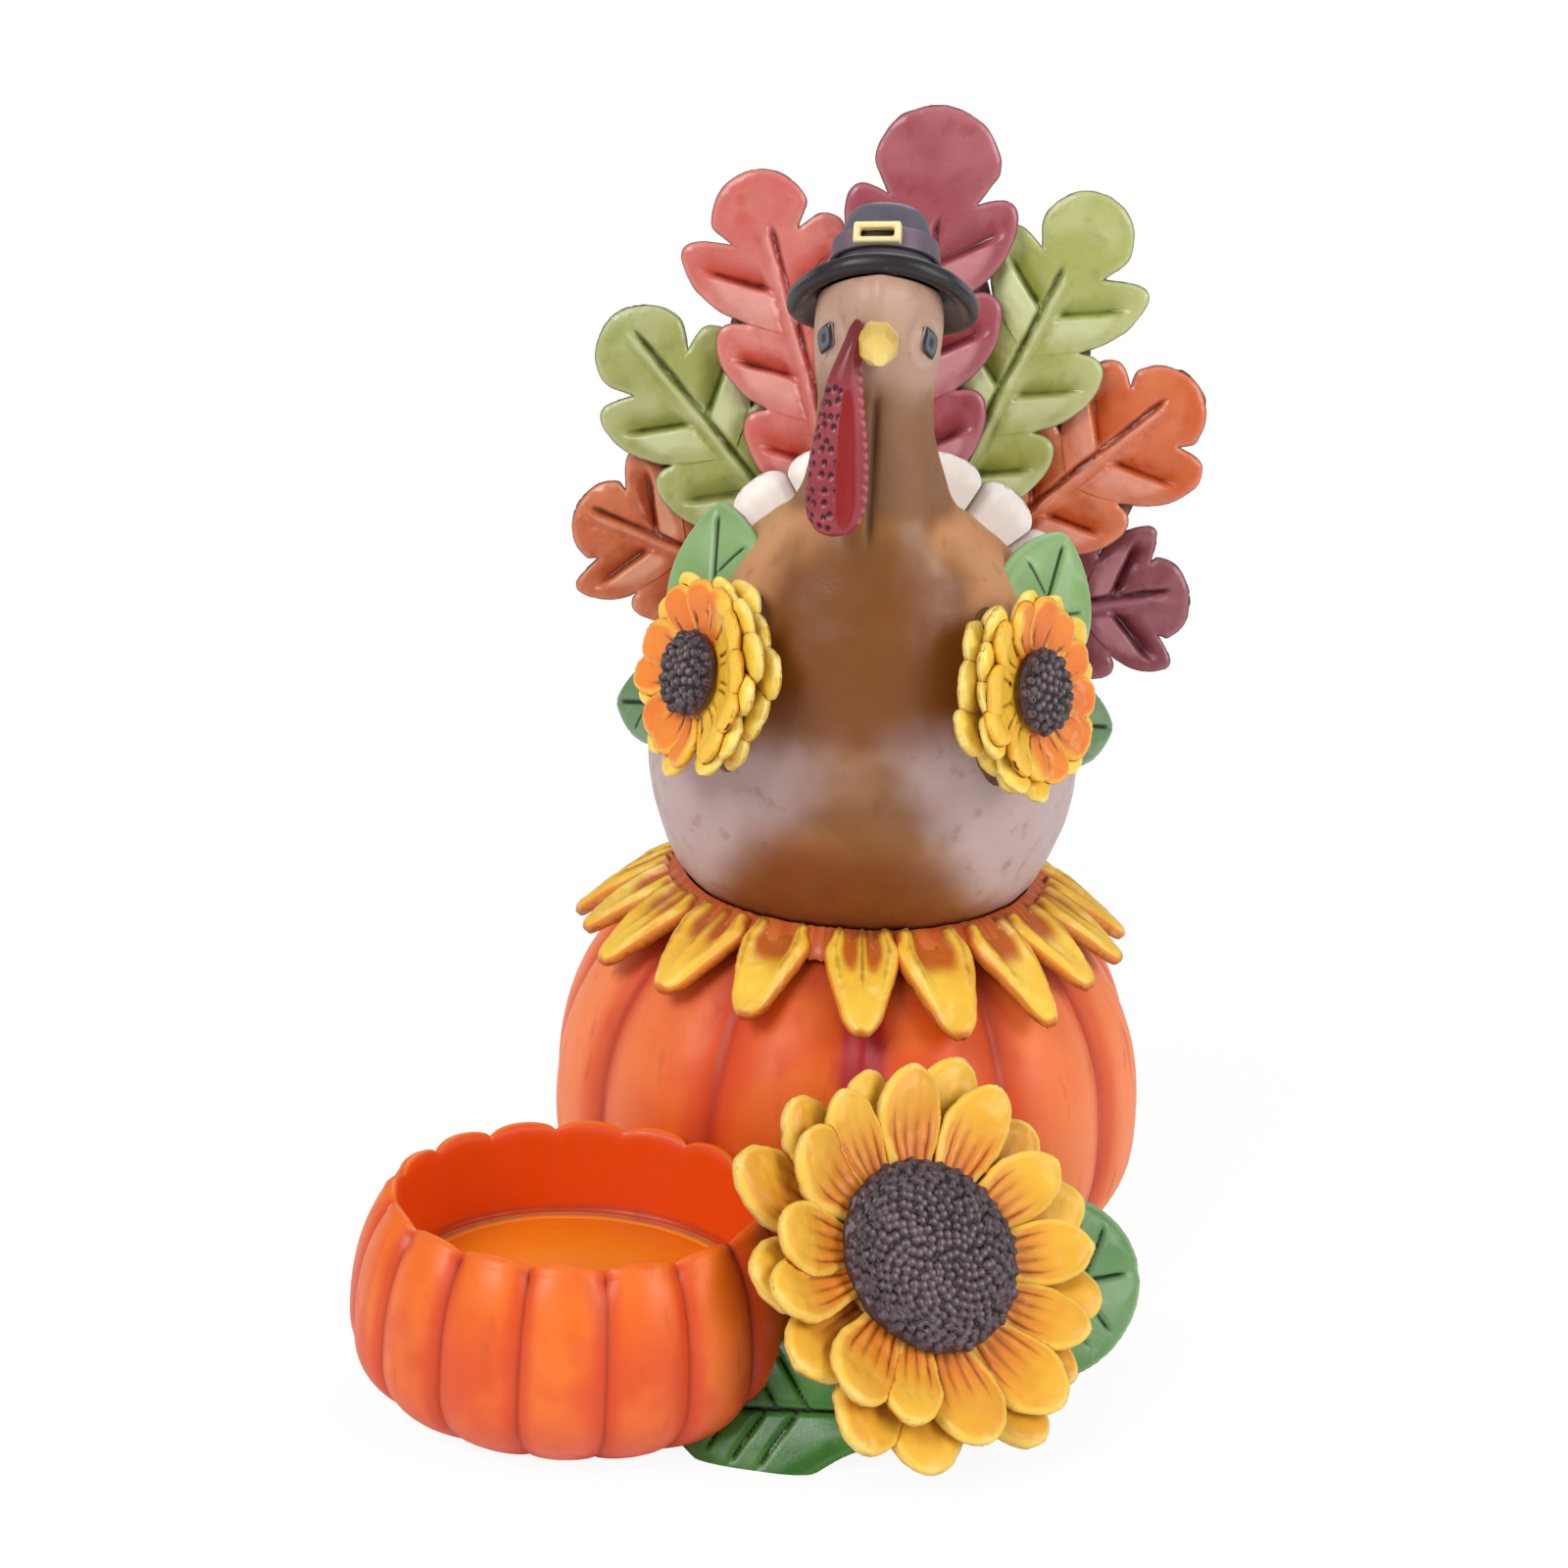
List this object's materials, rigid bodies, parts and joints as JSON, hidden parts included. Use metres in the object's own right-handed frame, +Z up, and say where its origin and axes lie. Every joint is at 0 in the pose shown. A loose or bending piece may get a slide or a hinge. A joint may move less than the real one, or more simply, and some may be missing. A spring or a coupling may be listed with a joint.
{
  "type": "thanksgiving turkey tea-light holder",
  "caption": "Painted resin turkey in a pilgrim hat standing on a ribbed pumpkin, with an oak-leaf tail, sunflower wings, a front sunflower and an open pumpkin cup for a tea light",
  "frame": {"origin": "centre of the flat underside of the big pumpkin, on the surface that the figure stands on", "axes": "+Z up, -Y the way the turkey faces, +X to its own left, which is the right of the picture"},
  "size_m": [0.1018, 0.1222, 0.1483],
  "materials": {
    "pumpkin_paint": "satin orange paint on cast resin, red airbrush in the grooves",
    "turkey_paint": "satin brown paint on cast resin",
    "hat_paint": "satin slate paint on cast resin",
    "hat_band_paint": "satin grey-purple paint on cast resin",
    "buckle_paint": "satin pale yellow paint on cast resin",
    "collar_paint": "satin yellow paint with a brown wash on cast resin",
    "beak_paint": "satin yellow paint on cast resin",
    "snood_paint": "satin red paint with dark pits on cast resin",
    "eye_paint": "dark grey paint on cast resin",
    "maroon_leaf_paint": "glossy maroon paint on cast resin",
    "red_leaf_paint": "glossy salmon red paint on cast resin",
    "green_leaf_paint": "glossy yellow-green paint on cast resin",
    "orange_leaf_paint": "glossy rust orange paint on cast resin",
    "backing_paint": "matt brown paint on cast resin",
    "covert_paint": "satin white paint on cast resin",
    "wing_back_petal_paint": "satin yellow paint on cast resin",
    "wing_front_petal_paint": "satin orange paint with yellow edges on cast resin",
    "seed_paint": "matt dark purple-brown paint on cast resin",
    "wing_leaf_paint": "satin sage green paint on cast resin",
    "flower_paint": "satin yellow paint with orange bases and brown wash on cast resin",
    "stem_paint": "satin green paint on cast resin",
    "ground_leaf_paint": "glossy green paint with dark veins on cast resin"
  },
  "bodies": {
    "root": {"pumpkin_base": "pumpkin_paint", "turkey_body": "turkey_paint", "hat": "hat_paint", "hat_band": "hat_band_paint", "hat_buckle": "buckle_paint", "petal_collar": "collar_paint", "beak": "beak_paint", "snood": "snood_paint", "eye_left": "eye_paint", "eye_right": "eye_paint", "tail_leaf_middle": "maroon_leaf_paint", "tail_leaf_left_upper": "red_leaf_paint", "tail_leaf_right_upper": "green_leaf_paint", "tail_leaf_left_middle": "green_leaf_paint", "tail_leaf_right_middle": "orange_leaf_paint", "tail_leaf_left_lower": "orange_leaf_paint", "tail_leaf_right_lower": "maroon_leaf_paint", "tail_backing": "backing_paint", "covert_feather_left_outer": "covert_paint", "covert_feather_left_middle": "covert_paint", "covert_feather_left_inner": "covert_paint", "covert_feather_centre": "covert_paint", "covert_feather_right_inner": "covert_paint", "covert_feather_right_middle": "covert_paint", "covert_feather_right_outer": "covert_paint", "wing_pad_left": "turkey_paint", "wing_flower_back_petals_left": "wing_back_petal_paint", "wing_flower_front_petals_left": "wing_front_petal_paint", "wing_flower_seed_disc_left": "seed_paint", "wing_pad_right": "turkey_paint", "wing_flower_back_petals_right": "wing_back_petal_paint", "wing_flower_front_petals_right": "wing_front_petal_paint", "wing_flower_seed_disc_right": "seed_paint", "wing_leaf_upper_left": "wing_leaf_paint", "wing_leaf_lower_left": "wing_leaf_paint", "wing_leaf_upper_right": "wing_leaf_paint", "wing_leaf_lower_right": "wing_leaf_paint", "candle_cup": "pumpkin_paint", "front_flower_back_petals": "flower_paint", "front_flower_front_petals": "flower_paint", "front_flower_seed_disc": "seed_paint", "front_flower_stem": "stem_paint", "ground_leaf_left": "ground_leaf_paint", "ground_leaf_right": "ground_leaf_paint"}
  },
  "joints": []
}
